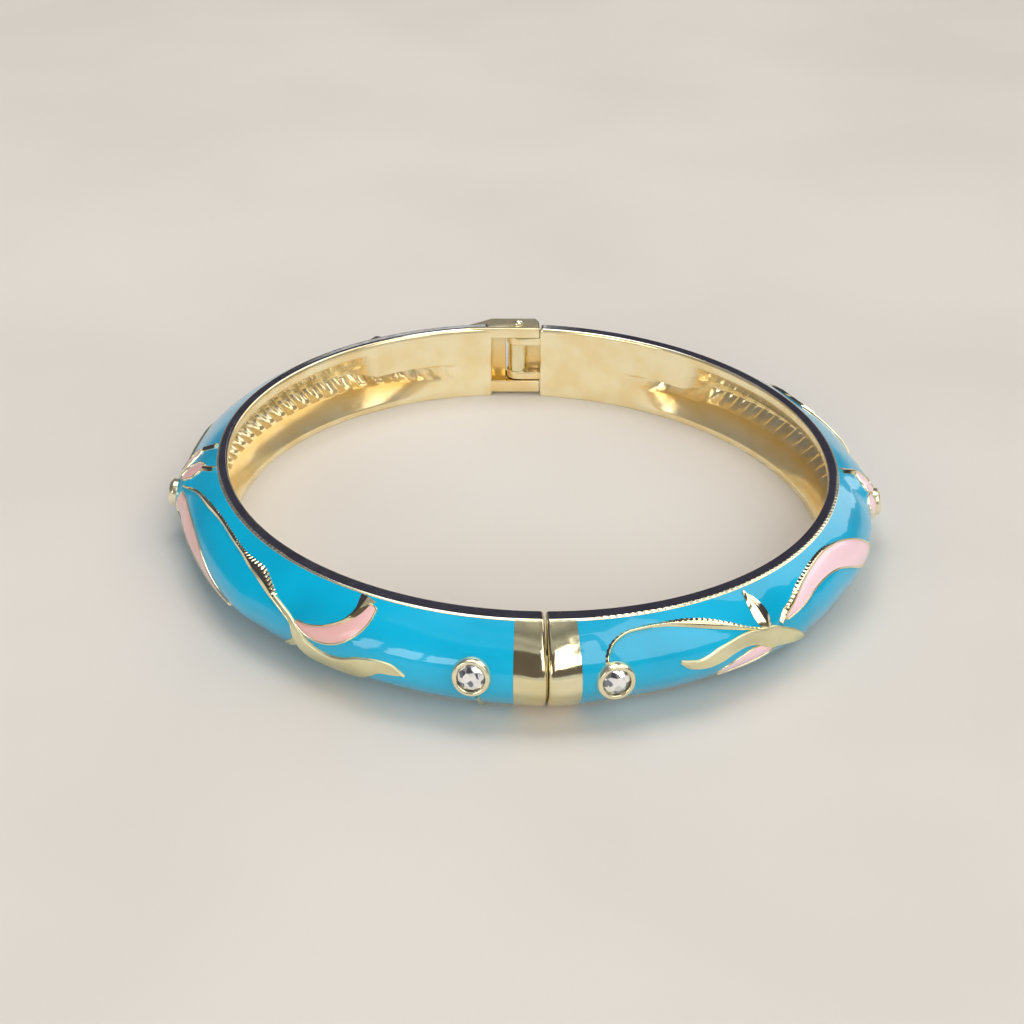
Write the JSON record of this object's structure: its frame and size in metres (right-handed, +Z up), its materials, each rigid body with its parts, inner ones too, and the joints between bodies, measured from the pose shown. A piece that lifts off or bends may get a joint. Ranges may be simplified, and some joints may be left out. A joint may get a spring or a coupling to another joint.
{
  "type": "hinged bangle",
  "caption": "Oval hinged bangle in two hollow gold-tone halves with blue enamel, pink petals, raised leaf scrolls and cut stones, pinned hinge and tongue clasp.",
  "frame": {"origin": "centre of the ring's box, on the plane of the lower rim that it lies on", "axes": "+Z up along the ring's axis, clasp towards -Y, hinge towards +Y, +X to the right seen from the clasp"},
  "size_m": [0.0714, 0.0678, 0.009],
  "materials": {
    "gold_metal": "polished",
    "blue_enamel": "glossy",
    "pink_enamel": "glossy",
    "crystal": "cut"
  },
  "bodies": {
    "left": {"left_half": "gold_metal", "left_enamel": "blue_enamel", "left_petals": "pink_enamel", "left_front_stone": "crystal", "left_side_stone": "crystal", "hinge_pin": "gold_metal"},
    "right": {"right_half": "gold_metal", "right_enamel": "blue_enamel", "right_petals": "pink_enamel", "right_front_stone": "crystal", "right_side_stone": "crystal", "clasp_tongue": "gold_metal"}
  },
  "joints": [
    {"name": "hinge", "type": "hinge", "parent": "left", "child": "right", "pos_m": [-0.0006, 0.03217, 0.0042], "axis": [0, 0, 1], "range_deg": [0, 60]}
  ]
}
